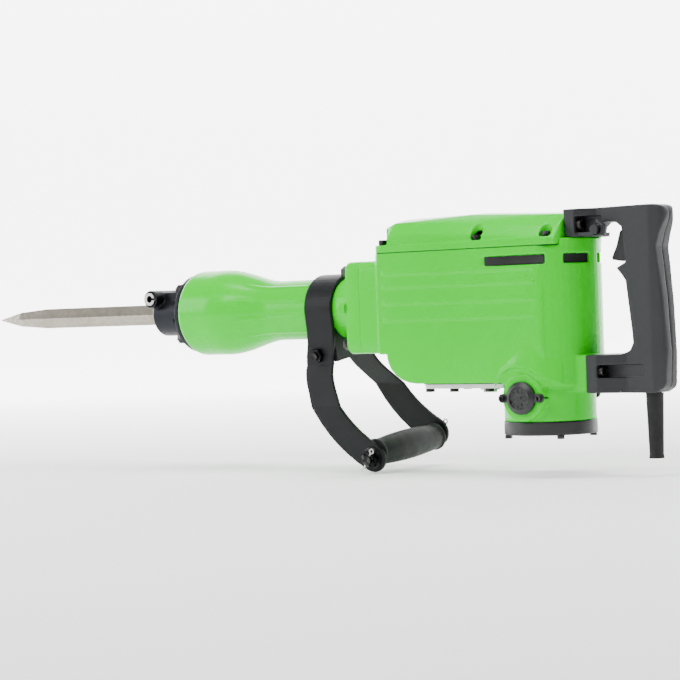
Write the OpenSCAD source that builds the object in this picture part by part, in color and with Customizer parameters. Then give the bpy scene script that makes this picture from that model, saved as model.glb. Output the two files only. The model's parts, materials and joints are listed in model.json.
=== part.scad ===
// Electric demolition hammer with a hexagonal tool socket, a vertical motor and a crank-driven
// impact train.
// The origin is at the mouth of the tool socket, on the tool axis.
// X runs to the rear along the tool axis, Y runs across, and Z is up.

/* [Tool] */
// Width across flats of the tool shank
tool_af = 28.6; // [24:0.1:32]
// Width across flats of the forged bar ahead of the shank
bar_af = 25.6; // [20:0.1:28]
// Length of the chisel
chisel_len = 410; // [360:1:600]
// Depth of the shank in the socket
shank_depth = 111; // [104:1:118]
// Length of the point's taper
point_len = 95; // [60:1:140]
// Travel of the chisel in the retainer
tool_play = 18; // [8:1:20]
// Radius of the retaining pin
retainer_r = 8.5; // [7:0.1:9.5]

/* [Nose] */
// Outer radius of the nose
nose_r = 27.5; // [26:0.5:34]
// Length of the nose ahead of its flange
nose_len = 55; // [50:1:65]
// Radius of the nose flange
cap_flange_r = 49; // [46:0.5:51]
// Thickness of the nose flange
cap_flange_t = 6; // [5:0.5:9]
// Radius of the circle of the nose bolts
cap_bolt_circle = 42; // [39:0.5:44]

/* [Barrel] */
// Greatest radius of the barrel
bulge_r = 53; // [50:0.5:62]
// Length of the thick front of the barrel
bulge_len = 50; // [40:1:70]
// Length of the taper behind it
taper_len = 80; // [60:1:100]
// Radius of the waist
waist_r = 36.4; // [35:0.2:42]
// Length from the nose flange to the rear flange
barrel_len = 268; // [255:1:300]
// Thickness of the rear flange
collar_t = 21; // [16:1:26]

/* [Impact train] */
// Radius of the cylinder's bore
bore_r = 25; // [23:0.2:26]
// Wall of the cylinder
cylinder_wall = 4.6; // [3:0.2:6]
// Throw of the crank
crank_throw = 24; // [16:0.5:25]
// Distance between the connecting rod's pins
rod_len = 100; // [94:1:106]

/* [Housing] */
// Half the width of the housing
case_half_w = 54; // [51:0.5:66]
// Half the height of the front collar
collar_half_h = 54.5; // [48:0.5:56]
// Wall of the housing
case_wall = 6; // [4:0.5:7]
// Height of the joint face under the top cover
parting_z = 62; // [60:0.5:66]
// Depth of the joint face over the bottom plate
floor_z = 90; // [80:0.5:96]
// Height of the top cover above its joint face
cover_h = 42; // [40:1:52]

/* [Motor] */
// Outer radius of the lower motor casing
motor_r = 52; // [50:0.5:58]
// Depth of the joint face over the tail cover
motor_floor_z = 134; // [130:1:142]
// Height of the tail cover
tail_h = 15.5; // [12:0.5:22]
// Radius of the brush cap
brush_cap_r = 18.4; // [16:0.2:22]
// Teeth of the armature pinion
armature_teeth = 9; // [9:2:11]
// Teeth of the large lay gear
lay_teeth = 47; // [45:1:49]
// Teeth of the lay pinion
pinion_teeth = 12; // [12:2:14]
// Teeth of the crank gear
crank_teeth = 42; // [38:2:42]

/* [Rear handle] */
// Length of the rear handle behind its lower foot
handle_len = 94; // [90:1:120]
// Height of the rear handle's top above the tool axis
handle_top = 101; // [98:0.5:108]
// Depth of the rear handle's underside below the tool axis
handle_bottom = 104; // [102:0.5:112]
// Half the width of the handle's feet
foot_half_w = 32; // [30:0.5:40]
// Half the width of the grip
grip_half_w = 17; // [15:0.5:20]
// Wall of the handle shells
shell_wall = 3.5; // [2.5:0.1:4.5]
// Length of the cord guard below the handle
guard_len = 72; // [50:1:110]
// Radius of the cable outlet
cable_r = 5; // [4:0.5:6]

/* [Side handle] */
// Width of the strap
strap_w = 40; // [32:1:44]
// Thickness of the strap
strap_t = 5; // [4:0.5:6]
// Distance from the tool axis to the grip's rod
grip_drop = 168.5; // [155:0.5:200]
// Distance from the strap's band back to the rod
grip_back = 73; // [60:1:80]
// Length of the side grip
side_grip_len = 124; // [110:1:150]
// Greatest radius of the side grip
side_grip_r = 18; // [15:0.5:20]
// Angle of the side handle round the barrel
side_angle = 10; // [-30:1:30]

/* [Hidden] */
$fn = 48;

// Clearances
run_gap = 0.06;    // shaft in its bearing, on the radius
seat_gap = 0.05;   // seated ring or sleeve, on the radius
bolt_gap = 0.3;    // screw in its hole, on the radius
free_gap = 0.4;    // faces that pass each other
eps = 0.01;

// Colours
GREEN = [0.25, 0.80, 0.16];
CHARCOAL = [0.17, 0.18, 0.20];
BLACK = [0.07, 0.07, 0.08];
STEEL = [0.62, 0.62, 0.60];
BRIGHT = [0.78, 0.78, 0.78];
COPPER = [0.72, 0.42, 0.22];
RUBBER = [0.10, 0.10, 0.10];

// Stations along the tool axis
bush_proud = 6;
nose_x = bush_proud;
cap_x = nose_x + nose_len;
barrel_x = cap_x + cap_flange_t;
collar_x = barrel_x + barrel_len;
case_x = collar_x + collar_t;

barrel_half_w = 50;
stud_y = barrel_half_w - 10;
stud_z = collar_half_h - 12;

// Retainer
retainer_x = 10;
retainer_z = tool_af / 2 + 5.7;
retainer_boss_r = retainer_r + 2.5;
retainer_half = 36;
retainer_flat = retainer_r - 5.5;
notch_depth = tool_af / 2 - (retainer_z - retainer_r) + 0.5;

// Socket bush and front bores of the barrel
bush_r = tool_af / 2 * 1.1547 + 4.5;
bush_end = 96;
bush_flange_r = bush_r + 8;
spigot_r = bush_flange_r + 3;
spigot_len = 13;
damper_t = 12;
anvil_x = shank_depth + 0.3;
anvil_stem_r = 14;
anvil_stem_len = 30;
anvil_head_len = 34;
anvil_tail_r = 12;
anvil_travel = 12;
cylinder_r = bore_r + cylinder_wall;
cylinder_x = anvil_x + anvil_stem_len - anvil_travel - 4;
cylinder_end = case_x + 44;
striker_len = 52;
striker_gap = 10;
striker_x = anvil_x + anvil_stem_len + anvil_head_len + striker_gap;

// Crank, gears and motor stations
crank_x = case_x + 133;
gear_m = 2;
first_m = 1.5;
lay_x = crank_x + gear_m * (pinion_teeth + crank_teeth) / 2;
motor_x = lay_x + first_m * (armature_teeth + lay_teeth) / 2;
wrist_x = crank_x - crank_throw - rod_len;
piston_front = wrist_x - 42;
piston_back = wrist_x + 18;
rod_half_h = 10;
web_z = 14;
web_t = 16;
web_r = crank_throw + 12;
crank_pin_r = 8;
wrist_r = 7;
crank_shaft_r = 12;
deck_z = web_z + web_t + 1.5;
crank_bearing_r = 26;
crank_bearing_t = 12;
gear_z = parting_z + 1;
gear_t = 10;
lay_gear_z = gear_z + gear_t + 1.5;
lay_gear_t = 8;
lay_shaft_r = 8;
lay_bearing_r = 14;
lay_bearing_t = 9;
lay_top_z = lay_gear_z + lay_gear_t + 1.5;
armature_shaft_r = 5.5;
motor_shaft_top = lay_gear_z + lay_gear_t + 1;

// Housing
rear_x = motor_x + 8;
rear_r = case_half_w + 2;
body_x = case_x + 22;
crank_room_x0 = case_x + 48;
wall_x = lay_x - 9;
wall_t = 6;
cover_x0 = body_x + 1;
cover_x1 = rear_x + 36;
cover_top = parting_z + cover_h;
gasket_t = 0.8;
floor_x0 = body_x + 60;
floor_x1 = motor_x - 30;
plate_half_w = case_half_w - 9;
plate_t = 5;
inner_half_w = case_half_w - case_wall;
cover_flange_t = 9;
cover_bolt_y = case_half_w - 6.5;
cover_bolts = [[cover_x0 + 13, cover_bolt_y], [(cover_x0 + cover_x1) / 2 + 21, cover_bolt_y],
    [cover_x1 - 14, cover_bolt_y - 2.5]];
floor_gasket_t = 1.2;
plate_z = -floor_z - floor_gasket_t - plate_t;
plate_bolt_y = plate_half_w - 7;
plate_bolt_xs = [floor_x0 + 8, floor_x0 + 42, floor_x1 - 26];
plug_x = floor_x0 + 66;

// Motor
stator_r = motor_r - case_wall;
stator_z0 = -84;
stator_z1 = -8;
core_r = 25;
fan_z = 26;
fan_h = 18;
fan_r = min(44, inner_half_w - 3);
motor_deck_z = fan_z + fan_h + 3.5;
lay_bearing_z = motor_deck_z + 2.5;
top_bearing_r = 15;
top_bearing_t = 12;
top_bearing_z = motor_deck_z + 3;
tail_bearing_r = 13;
tail_bearing_t = 10;
tail_bearing_z = -motor_floor_z + 1;
brush_z = -107;
brush_boss_r = brush_cap_r + 8;
brush_face_y = max(motor_r + 5, case_half_w + 3);
commutator_r = 17;
commutator_h = 24;
commutator_z = brush_z - commutator_h / 2;
brush_holder_r = brush_cap_r - 8.4;
ear_reach = brush_cap_r + 6;
tail_bolt_angles = [45, 135, 225, 315];

// Rear handle
low_x = max(motor_x + motor_r + 16, rear_x + rear_r + 4);
top_x = cover_x1 + 1;
handle_end = low_x + handle_len;
arm_under_z = handle_top - 31;
low_top_z = -handle_bottom + 43;
grip_x = handle_end - 46;
top_bolt_z = (handle_top + arm_under_z) / 2 - 2;
low_bolt_z = (low_top_z - handle_bottom) / 2 + 3;
bolt_half_y = foot_half_w - 10;
trigger_half_w = 8;
foot_wall = 14;
foot_screws = [[top_x, top_bolt_z, 26, 9], [low_x, low_bolt_z, 50, 7]];
lock_r = 5;
shell_screws = [[grip_x - 9, handle_top - 8.5], [handle_end - 15, 27], [grip_x + 27, -38],
    [handle_end - 13, low_top_z - 11]];
lock_x = grip_x - 31;
lock_z = arm_under_z + 7;
core_half_w = grip_half_w - 4.5;
lug_y = -foot_half_w + 3;
lug_x = grip_x - 24;
pivot_x = grip_x + 4;
pivot_z = arm_under_z + 6;
pivot_r = 2;
guard_x = handle_end - 26;
guard_r0 = 9.8;
guard_r1 = 7.7;

// Side handle
strap_x = collar_x - 50;
band_in = waist_r + 0.3;
band_out = band_in + strap_t;
rod_x = strap_x + grip_back;
arm_in = side_grip_len / 2 + 1;
arm_out = arm_in + strap_t;
clamp_z = waist_r + 12.5;
clamp_bolt_r = 5;
rod_r = 6;
rod_end = 13;
split_y = 9.2;
split_r = 1.2;
split_angle = 35;

function arc(cx, cy, r, a0, a1, n = 8) =
    [for (i = [0 : n]) [cx + r * cos(a0 + (a1 - a0) * i / n), cy + r * sin(a0 + (a1 - a0) * i / n)]];

function rect_points(x0, y0, x1, y1, r, n = 6) = concat(
    arc(x1 - r, y1 - r, r, 0, 90, n),
    arc(x0 + r, y1 - r, r, 90, 180, n),
    arc(x0 + r, y0 + r, r, 180, 270, n),
    arc(x1 - r, y0 + r, r, 270, 360, n));

module round_rect(x0, y0, x1, y1, r, n = 6) {
    polygon(rect_points(x0, y0, x1, y1, r, n));
}

// Cylinder along X from x0 to x1 at y, z
module xcyl(r, x0, x1, y = 0, z = 0) {
    translate([x0, y, z]) rotate([0, 90, 0]) cylinder(r = r, h = x1 - x0);
}

// Cylinder along Y from y0 to y1 at x, z
module ycyl(r, y0, y1, x = 0, z = 0) {
    translate([x, y1, z]) rotate([90, 0, 0]) cylinder(r = r, h = y1 - y0);
}

// Cylinder along Z from z0 to z1 at x, y
module zcyl(r, z0, z1, x = 0, y = 0) {
    translate([x, y, z0]) cylinder(r = r, h = z1 - z0);
}

// Hexagonal bar along X with flats above and below
module xhex(af, x0, x1) {
    translate([x0, 0, 0]) rotate([0, 90, 0]) rotate([0, 0, 90])
        cylinder(r = af / 2 / cos(30), h = x1 - x0, $fn = 6);
}

// Ring along X
module xring(r0, r1, x0, x1) {
    difference() {
        xcyl(r1, x0, x1);
        xcyl(r0, x0 - 1, x1 + 1);
    }
}

// Ring along Z at x
module zring(r0, r1, z0, z1, x = 0) {
    difference() {
        zcyl(r1, z0, z1, x);
        zcyl(r0, z0 - 1, z1 + 1, x);
    }
}

// Outline in X and Z, extruded across Y
module side_prism(half_w) {
    translate([0, half_w, 0]) rotate([90, 0, 0]) linear_extrude(2 * half_w) children();
}

// Hexagon screw pointing down from z = 0, head above
module hex_screw(r, len, af, head) {
    cylinder(r = af / 2 / cos(30), h = head, $fn = 6);
    translate([0, 0, -len]) cylinder(r = r, h = len + eps, $fn = 24);
}

// Socket-headed screw pointing down from z = 0, head above
module cap_screw(r, len, head_r, head) {
    difference() {
        cylinder(r = head_r, h = head, $fn = 24);
        translate([0, 0, head * 0.45]) cylinder(r = head_r * 0.55, h = head, $fn = 6);
    }
    translate([0, 0, -len]) cylinder(r = r, h = len + eps, $fn = 24);
}

// Involute tooth flank point at radius r on a base circle rb
function involute(rb, r) = sqrt(max(0, (r / rb) ^ 2 - 1)) * 180 / PI - acos(min(1, rb / r));

// Spur gear outline with a pressure angle of 25 degrees and a short addendum
module gear_outline(m, teeth) {
    pitch_r = m * teeth / 2;
    base_r = pitch_r * cos(25);
    tip_r = pitch_r + 0.8 * m;
    root_r = pitch_r - 1.1 * m;
    low_r = max(base_r, root_r);
    steps = 3;
    half_pitch = 90 / teeth - 0.09 / pitch_r * 180 / PI;
    at_pitch = involute(base_r, pitch_r);
    radii = [for (i = [0 : steps]) low_r + (tip_r - low_r) * i / steps];
    flank = [for (r = radii) [r, half_pitch + at_pitch - involute(base_r, r)]];
    polygon([for (t = [0 : teeth - 1]) let (c = 360 * t / teeth) each concat(
        [[root_r * cos(c - flank[0][1]), root_r * sin(c - flank[0][1])]],
        [for (p = flank) [p[0] * cos(c - p[1]), p[0] * sin(c - p[1])]],
        [for (i = [steps : -1 : 0]) [flank[i][0] * cos(c + flank[i][1]), flank[i][0] * sin(c + flank[i][1])]],
        [[root_r * cos(c + flank[0][1]), root_r * sin(c + flank[0][1])]])]);
}

// Ball bearing round Z: two rings and the balls between them
module ball_bearing(r0, r1, t, balls = 8) {
    mid = (r0 + r1) / 2;
    ball = (r1 - r0) * 0.27;
    race = ball + 0.05;
    difference() {
        zring(r0, r0 + (r1 - r0) * 0.32, 0, t);
        translate([0, 0, t / 2]) rotate_extrude() translate([mid, 0]) circle(r = race, $fn = 24);
    }
    difference() {
        zring(r1 - (r1 - r0) * 0.32, r1, 0, t);
        translate([0, 0, t / 2]) rotate_extrude() translate([mid, 0]) circle(r = race, $fn = 24);
    }
    for (i = [0 : balls - 1])
        rotate([0, 0, 360 * i / balls]) translate([mid, 0, t / 2]) sphere(r = ball, $fn = 24);
}

// ---------------------------------------------------------------- tool and nose

module chisel() {
    tip_x = shank_depth - chisel_len;
    neck_x = -4;
    color(STEEL) difference() {
        union() {
            intersection() {
                xhex(tool_af, neck_x, shank_depth);
                translate([neck_x - 1, 0, 0]) rotate([0, 90, 0])
                    cylinder(r1 = tool_af * 2, r2 = tool_af / 2, h = shank_depth - neck_x + 1);
            }
            xhex(bar_af, tip_x + point_len, neck_x + 1);
            hull() {
                xhex(bar_af, tip_x + point_len - 1, tip_x + point_len + 0.5);
                xhex(bar_af * 0.72, tip_x + point_len * 0.45, tip_x + point_len * 0.45 + 1);
                xhex(1.6, tip_x, tip_x + 0.5);
            }
        }
        translate([retainer_x - retainer_r - 0.6, -tool_af, tool_af / 2 - notch_depth])
            cube([2 * retainer_r + tool_play + 1.2, 2 * tool_af, tool_af]);
    }
}

module bolt_ring(circle_r) {
    for (a = [45 : 90 : 315]) rotate([a, 0, 0]) translate([0, circle_r, 0]) children();
}

module front_cap() {
    color(CHARCOAL) difference() {
        union() {
            xcyl(nose_r, nose_x, cap_x + 1);
            xcyl(cap_flange_r, cap_x, barrel_x);
            xcyl(spigot_r - seat_gap, barrel_x - 1, barrel_x + spigot_len);
            ycyl(retainer_boss_r, -retainer_half, retainer_half, retainer_x, retainer_z);
            translate([retainer_x, -nose_r + 6, 0])
                cube([nose_len - 12, 2 * nose_r - 12, retainer_z + retainer_boss_r - 3]);
        }
        xcyl(bush_r + seat_gap, -20, barrel_x + spigot_len + 1);
        ycyl(retainer_r + run_gap, -retainer_half - 1, retainer_half + 1, retainer_x, retainer_z);
        bolt_ring(cap_bolt_circle) xcyl(4 + bolt_gap, cap_x - 1, barrel_x + 1);
        translate([cap_x - 22, -nose_r - 1, -14]) cube([12, 5, 8]);
    }
}

module front_cap_bolts() {
    color(BLACK) bolt_ring(cap_bolt_circle)
        translate([cap_x, 0, 0]) rotate([0, -90, 0]) hex_screw(4, cap_flange_t + 22, 13, 7);
}

module tool_bush() {
    color(STEEL) difference() {
        union() {
            xcyl(bush_r, 0, bush_end);
            xcyl(bush_flange_r, barrel_x + spigot_len, bush_end);
        }
        xhex(tool_af + 0.7, -1, bush_end + 1);
        ycyl(retainer_r + 0.4, -bush_r - 1, bush_r + 1, retainer_x, retainer_z);
    }
}

module retainer_pin() {
    color(STEEL) {
        difference() {
            ycyl(retainer_r, -retainer_half + 1.5, retainer_half + 4, retainer_x, retainer_z);
            translate([retainer_x - retainer_r - 1, -nose_r, retainer_z + retainer_flat])
                cube([2 * retainer_r + 2, 2 * nose_r, retainer_r]);
            ycyl(retainer_r - 4, -retainer_half, -retainer_half + 3, retainer_x, retainer_z);
        }
        ycyl(retainer_boss_r - 0.5, retainer_half + free_gap, retainer_half + 6, retainer_x, retainer_z);
        translate([retainer_x - 4, retainer_half + 4, retainer_z])
            cube([8, 5, retainer_boss_r + 6]);
    }
}

module retainer_clip() {
    // Snap ring on the pin's near end
    color(BRIGHT) translate([retainer_x, -retainer_half - free_gap, retainer_z]) rotate([90, 0, 0])
        difference() {
            cylinder(r = retainer_r - 0.5, h = 1.4);
            translate([0, 0, -1]) cylinder(r = retainer_r - 4, h = 4);
            translate([0, -1.5, -1]) cube([retainer_r, 3, 4]);
        }
    color(BRIGHT) for (a = [120, 240]) translate([retainer_x, 0, retainer_z]) rotate([0, a, 0])
        translate([retainer_r - 2.2, -retainer_half - 1, 0]) rotate([-90, 0, 0])
            cylinder(r = 1, h = 2.5, $fn = 16);
}

// ---------------------------------------------------------------- barrel and impact train

// Half section of the barrel as [radius, distance from the nose flange]
function barrel_section() = concat(
    [[0, 0]],
    [for (p = arc(9, bulge_r - 9, 9, 180, 90)) [p[1], p[0]]],
    [for (i = [0 : 12]) let (t = i / 12)
        [waist_r + (bulge_r - waist_r) * (1 + cos(180 * t)) / 2, bulge_len + taper_len * t]],
    [[waist_r, barrel_len + 2], [0, barrel_len + 2]]);

module barrel() {
    color(GREEN) difference() {
        union() {
            translate([barrel_x, 0, 0]) rotate([0, 90, 0]) rotate_extrude($fn = 96)
                polygon(barrel_section());
            translate([collar_x, 0, 0]) rotate([90, 0, 90]) linear_extrude(collar_t)
                round_rect(-barrel_half_w, -collar_half_h, barrel_half_w, collar_half_h, 12);
            // Shallow ribs along the waist
            for (a = [-50, -18, 14, 46, 134, 166, 198, 230]) rotate([a, 0, 0])
                translate([barrel_x + bulge_len + 20, -waist_r - 1.6, -3])
                    cube([strap_x - strap_w / 2 - barrel_x - bulge_len - 24, 6, 6]);
            // Webs between the waist and the rear flange
            for (a = [0 : 90 : 270]) rotate([a, 0, 0])
                translate([collar_x - 22, 0, 0]) rotate([90, 0, 0]) translate([0, 0, -4]) linear_extrude(8)
                    polygon([[0, waist_r - 2], [23, barrel_half_w - 2], [23, waist_r - 2]]);
        }
        // Front seat, damper seat, anvil way and cylinder bore
        xcyl(spigot_r + seat_gap, barrel_x - 1, bush_end + damper_t + 2);
        xcyl(cylinder_r + seat_gap, bush_end + damper_t, case_x + 1);
        bolt_ring(cap_bolt_circle) xcyl(4 + bolt_gap, barrel_x - 1, barrel_x + 24);
        for (y = [-1, 1]) for (z = [-1, 1])
            xcyl(4 + bolt_gap, collar_x - 1, case_x + 1, y * stud_y, z * stud_z);
    }
}

module barrel_nuts() {
    color(BLACK) for (y = [-1, 1]) for (z = [-1, 1])
        translate([collar_x, y * stud_y, z * stud_z])
            rotate([0, -90, 0]) hex_screw(4, collar_t + 14, 13, 8);
}

module damper_ring() {
    color(RUBBER) xring(anvil_stem_r + 6, spigot_r - 1, bush_end + 0.5, bush_end + damper_t - 0.5);
}

module anvil() {
    color(STEEL) {
        xcyl(anvil_stem_r, anvil_x, anvil_x + anvil_stem_len + 1);
        xcyl(bore_r - run_gap, anvil_x + anvil_stem_len, anvil_x + anvil_stem_len + anvil_head_len - 10);
        xcyl(anvil_tail_r, anvil_x + anvil_stem_len + anvil_head_len - 11, anvil_x + anvil_stem_len + anvil_head_len);
    }
}

module anvil_bush() {
    color(BRIGHT) xring(anvil_stem_r + run_gap, cylinder_r - seat_gap, anvil_x + 0.5, cylinder_x);
}

module cylinder_sleeve() {
    color(BRIGHT) difference() {
        xcyl(cylinder_r, cylinder_x, cylinder_end);
        xcyl(bore_r, cylinder_x - 1, cylinder_end + 1);
        for (a = [0 : 60 : 300]) rotate([a, 0, 0])
            zcyl(2.5, bore_r - 2, cylinder_r + 2, striker_x + striker_len + 20);
    }
}

module striker() {
    color(STEEL) difference() {
        union() {
            xcyl(bore_r - run_gap, striker_x + 8, striker_x + striker_len);
            xcyl(15, striker_x, striker_x + 9);
        }
        xring(bore_r - 2.4, bore_r + 3, striker_x + striker_len - 12, striker_x + striker_len - 8);
    }
}

module striker_ring() {
    color(RUBBER) xring(bore_r - 2.3, bore_r - 0.1, striker_x + striker_len - 11.8, striker_x + striker_len - 8.2);
}

module piston() {
    color(BRIGHT) difference() {
        xcyl(bore_r - run_gap, piston_front, piston_back);
        xcyl(bore_r - 4, wrist_x - 16, piston_back + 1);
        xring(bore_r - 2.4, bore_r + 3, piston_front + 6, piston_front + 10);
        zcyl(wrist_r + seat_gap, -bore_r - 2, bore_r + 2, wrist_x);
    }
}

module piston_ring() {
    color(RUBBER) xring(bore_r - 2.3, bore_r - 0.1, piston_front + 6.2, piston_front + 9.8);
}

module wrist_pin() {
    color(STEEL) zcyl(wrist_r, -bore_r + 3, bore_r - 3, wrist_x);
}

module connecting_rod() {
    color(STEEL) difference() {
        union() {
            zcyl(wrist_r + 4, -7, 7, wrist_x);
            translate([wrist_x, -7, -6]) cube([rod_len, 14, 12]);
            zcyl(14, -rod_half_h, rod_half_h, wrist_x + rod_len);
        }
        zcyl(wrist_r + run_gap, -8, 8, wrist_x);
        zcyl(crank_pin_r + run_gap, -rod_half_h - 1, rod_half_h + 1, wrist_x + rod_len);
    }
}

module crankshaft() {
    color(STEEL) {
        zcyl(web_r, web_z, web_z + web_t, crank_x);
        zcyl(crank_pin_r, rod_half_h + free_gap, web_z + 1, crank_x - crank_throw);
        zcyl(crank_shaft_r, web_z + web_t - 1, gear_z + gear_t + 5, crank_x);
    }
}

module crank_bearings() {
    color(BRIGHT) for (i = [0, 1]) translate([crank_x, 0, deck_z + 1 + i * (crank_bearing_t + 1)])
        ball_bearing(crank_shaft_r + run_gap, crank_bearing_r - seat_gap, crank_bearing_t, 9);
}

module crank_gear() {
    color(STEEL) translate([crank_x, 0, gear_z]) difference() {
        linear_extrude(gear_t) gear_outline(gear_m, crank_teeth);
        translate([0, 0, -1]) cylinder(r = crank_shaft_r + seat_gap, h = gear_t + 2);
        for (a = [30 : 60 : 330]) rotate([0, 0, a]) translate([gear_m * crank_teeth * 0.33, 0, -1])
            cylinder(r = 6, h = gear_t + 2);
    }
}

module lay_shaft() {
    color(STEEL) translate([lay_x, 0, 0]) {
        translate([0, 0, lay_bearing_z - 0.5]) cylinder(r = lay_shaft_r, h = gear_z - lay_bearing_z + 0.5 + eps);
        translate([0, 0, gear_z]) linear_extrude(lay_gear_z - gear_z + eps)
            rotate(180 / pinion_teeth) gear_outline(gear_m, pinion_teeth);
        translate([0, 0, lay_gear_z]) linear_extrude(lay_gear_t) gear_outline(first_m, lay_teeth);
        translate([0, 0, lay_gear_z + lay_gear_t - eps]) cylinder(r = lay_shaft_r - 2, h = 7);
    }
}

module lay_bearings() {
    color(BRIGHT) translate([lay_x, 0, lay_bearing_z])
        ball_bearing(lay_shaft_r + run_gap, lay_bearing_r - seat_gap, lay_bearing_t);
    color(BRIGHT) zring(lay_shaft_r - 2 + run_gap, lay_shaft_r + 1, lay_top_z, lay_top_z + 6, lay_x);
}

// ---------------------------------------------------------------- housing and covers

// Plan outline of the housing's body
module body_plan(front, half_w, back_x, back_r) {
    polygon(concat(
        [[front, -half_w + 8], [front + 8, -half_w]],
        arc(back_x, 0, back_r, -75, 75, 20),
        [[front + 8, half_w], [front, half_w - 8]]));
}

// Side outline of the housing's body: flat top and floor, and a curved chin at the front
module body_side() {
    chin = 42;
    chin_z = -collar_half_h - 1;
    polygon(concat(
        [[body_x, chin_z + 7], [body_x + 7, chin_z]],
        [for (i = [0 : 6]) [floor_x0 - chin + chin * (1 - cos(15 * i)), chin_z - (floor_z + chin_z) * sin(15 * i)]],
        [[floor_x1 + 1, -floor_z], [floor_x1 + 6, -floor_z - 5], [rear_x + rear_r + 2, -floor_z - 5]],
        [[rear_x + rear_r + 2, arm_under_z - free_gap], [cover_x1 + 0.5, arm_under_z - free_gap],
            [cover_x1 + 0.5, parting_z], [body_x, parting_z]]));
}

// Mirrored copies on both sides of the tool axis
module both_sides() {
    children();
    mirror([0, 1, 0]) children();
}

module main_housing() {
    color(GREEN) difference() {
        union() {
            intersection() {
                side_prism(case_half_w + 10) body_side();
                translate([0, 0, -200]) linear_extrude(400)
                    body_plan(body_x, case_half_w, rear_x, rear_r);
            }
            translate([case_x, 0, 0]) rotate([90, 0, 90]) linear_extrude(body_x + 12 - case_x)
                round_rect(-barrel_half_w, -collar_half_h, barrel_half_w, collar_half_h, 12);
            zcyl(motor_r, -motor_floor_z, -floor_z + 4, motor_x);
            both_sides() ycyl(brush_boss_r, 20, brush_face_y, motor_x, brush_z);
            // Foot of the rear handle's lower arm
            translate([motor_x, -foot_half_w + 2, -handle_bottom + 4])
                cube([low_x - motor_x, 2 * foot_half_w - 4, low_top_z + handle_bottom - 4]);
            // Ribs along both sides
            both_sides() for (z = [38, 23, 4, -15])
                translate([body_x + 16, case_half_w - 1, z - 1.5])
                    cube([motor_x + 18 - body_x - 16, 2.2, 3]);
            // Boss of the upper motor bearing
            zcyl(top_bearing_r + 4, motor_deck_z + 1, top_bearing_z + top_bearing_t, motor_x);
        }
        // Cylinder bore and crank room
        xcyl(cylinder_r + seat_gap, case_x - 1, crank_room_x0 + 1);
        translate([crank_room_x0, -inner_half_w, -floor_z + case_wall])
            cube([wall_x - crank_room_x0, 2 * inner_half_w, floor_z - case_wall + deck_z]);
        translate([floor_x0 + 12, -plate_half_w + 14, -floor_z - 1])
            cube([floor_x1 - floor_x0 - 46, 2 * plate_half_w - 28, case_wall + 2]);
        zcyl(crank_bearing_r, deck_z + 1, parting_z + 2, crank_x);
        difference() {
            translate([crank_room_x0, -inner_half_w + 4, deck_z + 10])
                cube([wall_x - crank_room_x0 - 6, 2 * inner_half_w - 8, 50]);
            zcyl(crank_bearing_r + 4, 0, 100, crank_x);
            zcyl(lay_bearing_r + 3, 0, 100, lay_x);
        }
        zcyl(crank_shaft_r + 4, deck_z - 2, deck_z + 4, crank_x);
        zcyl(lay_bearing_r, lay_bearing_z - 0.7, parting_z + 2, lay_x);
        // Motor room, fan room and the bearing over them
        zcyl(stator_r, -motor_floor_z - 1, fan_z, motor_x);
        translate([0, 0, fan_z - 3]) linear_extrude(motor_deck_z - fan_z + 3)
            body_plan(wall_x + wall_t, inner_half_w, rear_x, rear_r - case_wall);
        zcyl(top_bearing_r, top_bearing_z, parting_z + 20, motor_x);
        zcyl(armature_shaft_r + 2, motor_deck_z - 1, parting_z + 20, motor_x);
        // Air slots at the fan
        both_sides() translate([0, 0, 41.5]) linear_extrude(11)
            polygon([[motor_x - 54, case_half_w + 1], [motor_x - 28, inner_half_w - 3],
                [motor_x + 31, inner_half_w - 3], [motor_x + 31, case_half_w + 9],
                [motor_x - 54, case_half_w + 9]]);
        both_sides() translate([rear_x, 0, 0]) rotate([0, 0, 26])
            translate([rear_r - case_wall - 3.5, -17, 41.7]) cube([30, 34, 10.6]);
        // Brush holders and the screws of their caps
        both_sides() {
            ycyl(brush_holder_r + seat_gap, 19, brush_face_y + 1, motor_x, brush_z);
            for (e = [-1, 1])
                ycyl(1.8, brush_face_y - 14, brush_face_y + 1, motor_x + e * ear_reach, brush_z);
        }
        // Screw holes
        both_sides() {
            for (p = cover_bolts) zcyl(3 + bolt_gap, parting_z - 22, parting_z + 1, p[0], p[1]);
            for (x = plate_bolt_xs) zcyl(3 + bolt_gap, -floor_z - 1, -floor_z + 14, x, plate_bolt_y);
            for (z = [-1, 1]) xcyl(4 + bolt_gap, case_x - 1, case_x + 18, stud_y, z * stud_z);
            xcyl(4 + bolt_gap, low_x - 14, low_x + 1, bolt_half_y, low_bolt_z);
        }
        for (a = tail_bolt_angles) translate([motor_x, 0, 0]) rotate([0, 0, a])
            zcyl(2 + bolt_gap, -motor_floor_z - 1, -motor_floor_z + 18, stator_r + 3);
    }
}

module cover_plan(inset, r) {
    round_rect(cover_x0 + inset, -case_half_w + inset, cover_x1 - inset, case_half_w - inset, r);
}

// Section of the cover's dome, in Y and Z above the joint face
module dome_section(half_w, ridge, top) {
    side = [[half_w, ridge - 13], [half_w - 10, ridge], [half_w * 0.45, top - 2]];
    polygon(concat([[-half_w, 0]], [for (p = side) [-p[0], p[1]]], [[0, top]],
        [for (i = [2 : -1 : 0]) side[i]], [[half_w, 0]]));
}

// The dome rises steeply at the front and falls away slowly to the rear
module dome(inset, drop) {
    top_h = cover_h - gasket_t - drop;
    hull() {
        for (s = [[cover_x0 + 12 + inset, 0.68, 0.86], [cover_x0 + 26 + inset, 0.82, 0.96],
            [(cover_x0 + cover_x1) / 2, 0.70, 1], [cover_x1 - inset - 1, 0.48, 0.87]])
            translate([s[0], 0, parting_z + gasket_t]) rotate([90, 0, 90]) linear_extrude(1)
                dome_section(case_half_w - inset - 3, top_h * s[1], top_h * s[2]);
    }
}

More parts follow.
